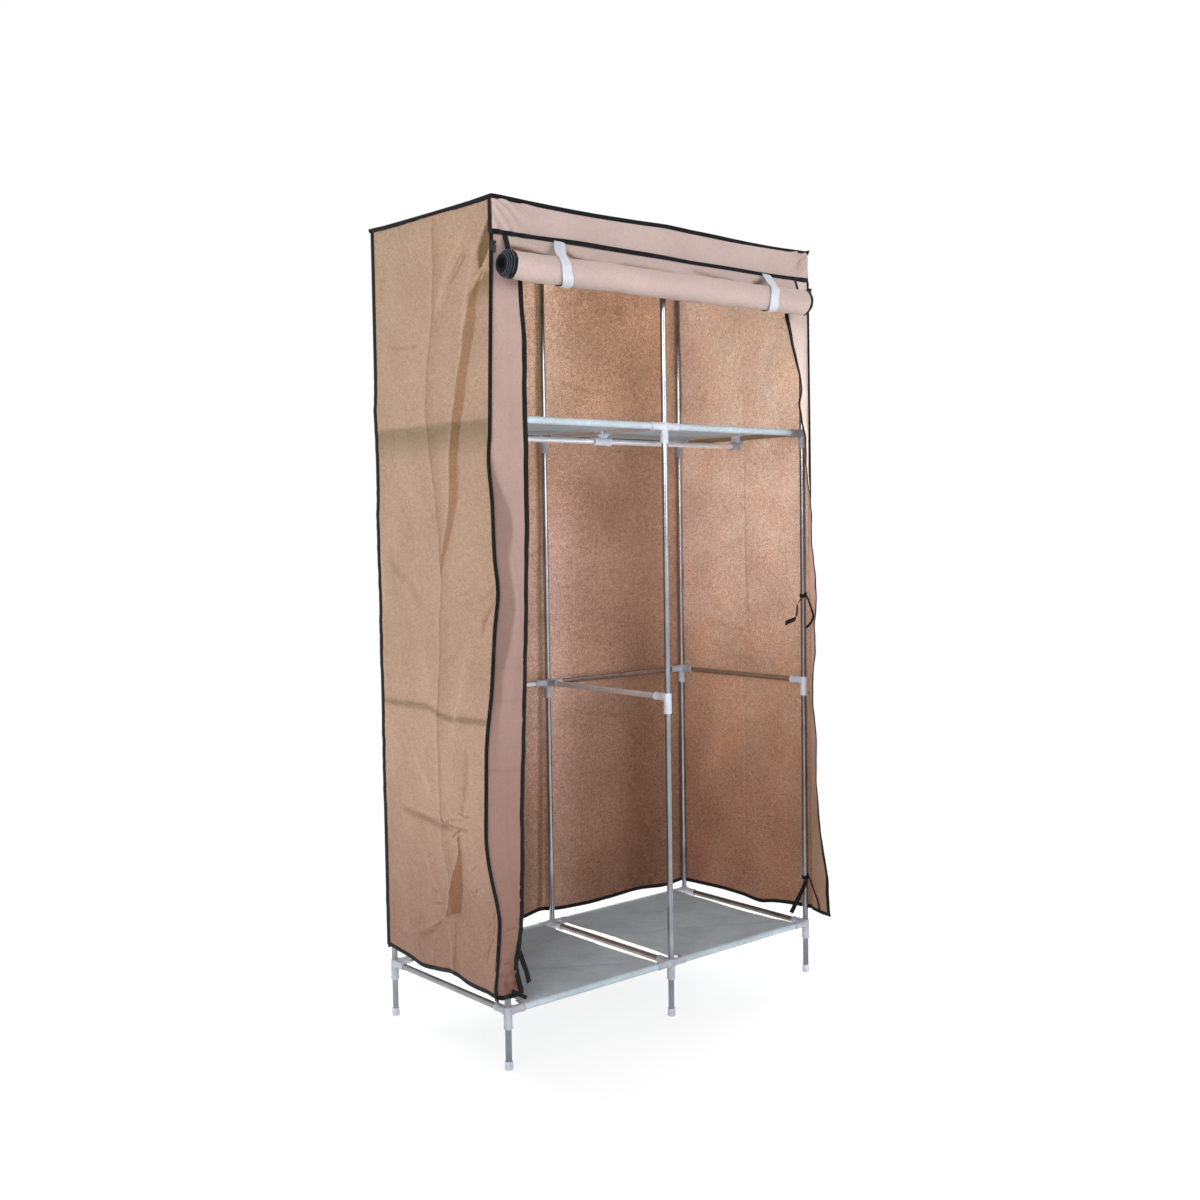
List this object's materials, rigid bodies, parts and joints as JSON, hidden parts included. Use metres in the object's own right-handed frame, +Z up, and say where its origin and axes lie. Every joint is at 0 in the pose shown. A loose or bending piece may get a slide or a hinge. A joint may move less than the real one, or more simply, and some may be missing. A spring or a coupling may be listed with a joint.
{
  "type": "portable fabric wardrobe",
  "caption": "Free-standing wardrobe: a push-together tube frame with fabric shelves and a hanging rod under a fabric cover whose door is rolled up.",
  "frame": {"origin": "on the floor, in the middle of the whole part's reach from left to right and from front to back", "axes": "+X to the right seen from the front, +Y from the open front to the back panel, +Z up"},
  "size_m": [0.953, 0.5135, 1.6982],
  "materials": {
    "steel_tube": "bright zinc-grey tube",
    "milky_plastic": "milky, slightly translucent moulding",
    "shelf_cloth": "thin pale grey-green non-woven cloth",
    "cover_cloth": "light brown non-woven cloth",
    "black_tape": "black woven tape",
    "white_tape": "white woven tape",
    "zip_metal": "black enamelled zip parts"
  },
  "bodies": {
    "frame": {"post_front_left": "milky_plastic", "post_front_middle": "milky_plastic", "post_front_right": "milky_plastic", "post_back_left": "milky_plastic", "post_back_middle": "milky_plastic", "post_back_right": "milky_plastic", "rail_bottom_front_left": "steel_tube", "rail_bottom_back_left": "steel_tube", "rail_bottom_front_right": "steel_tube", "rail_bottom_back_right": "steel_tube", "rail_bottom_side_left": "steel_tube", "rail_bottom_side_middle": "steel_tube", "rail_bottom_side_right": "steel_tube", "rail_middle_back_left": "steel_tube", "rail_middle_back_right": "steel_tube", "rail_middle_side_left": "steel_tube", "rail_middle_side_middle": "steel_tube", "rail_middle_side_right": "steel_tube", "rail_upper_front_left": "steel_tube", "rail_upper_back_left": "steel_tube", "rail_upper_front_right": "steel_tube", "rail_upper_back_right": "steel_tube", "rail_upper_side_left": "steel_tube", "rail_upper_side_middle": "steel_tube", "rail_upper_side_right": "steel_tube", "rail_top_front_left": "steel_tube", "rail_top_back_left": "steel_tube", "rail_top_front_right": "steel_tube", "rail_top_back_right": "steel_tube", "rail_top_side_left": "steel_tube", "rail_top_side_middle": "steel_tube", "rail_top_side_right": "steel_tube", "shelf_bottom_left": "shelf_cloth", "shelf_bottom_right": "shelf_cloth", "shelf_upper_left": "shelf_cloth", "shelf_upper_right": "shelf_cloth", "cover_side_left": "cover_cloth", "cover_side_right": "cover_cloth", "cover_back": "cover_cloth", "cover_top": "cover_cloth", "cover_front_band": "cover_cloth", "front_flap_left": "cover_cloth", "front_flap_right": "cover_cloth", "door_roll": "cover_cloth", "zip_tape_left": "black_tape", "roll_strap_left": "white_tape", "zip_tape_right": "black_tape", "roll_strap_right": "white_tape"},
    "hanging_rod": {"hanging_rod_left": "steel_tube", "hanging_rod_right": "steel_tube", "rod_clip_left": "milky_plastic", "rod_clip_middle": "milky_plastic", "rod_clip_right": "milky_plastic"},
    "zip_slider_left": {"zip_slider_left": "zip_metal"},
    "zip_slider_right": {"zip_slider_right": "zip_metal"},
    "zip_pull_left": {"zip_pull_left": "zip_metal"},
    "zip_pull_right": {"zip_pull_right": "zip_metal"}
  },
  "joints": [
    {"name": "rod_slide", "type": "slide", "parent": "frame", "child": "hanging_rod", "axis": [0, 1, 0], "range_m": [-0.155, 0.155]},
    {"name": "zip_left_slide", "type": "slide", "parent": "frame", "child": "zip_slider_left", "axis": [-0.0321, 0, -0.9995], "range_m": [0, 0.34]},
    {"name": "zip_left_pull", "type": "hinge", "parent": "zip_slider_left", "child": "zip_pull_left", "pos_m": [-0.44263, -0.1919, 1.611], "axis": [-0.9995, 0, 0.0321], "range_deg": [0, 150]},
    {"name": "zip_right_slide", "type": "slide", "parent": "frame", "child": "zip_slider_right", "axis": [0.008, 0, -1], "range_m": [0, 0.34]},
    {"name": "zip_right_pull", "type": "hinge", "parent": "zip_slider_right", "child": "zip_pull_right", "pos_m": [0.4641, -0.1919, 1.611], "axis": [-1, 0, -0.008], "range_deg": [0, 150]}
  ]
}
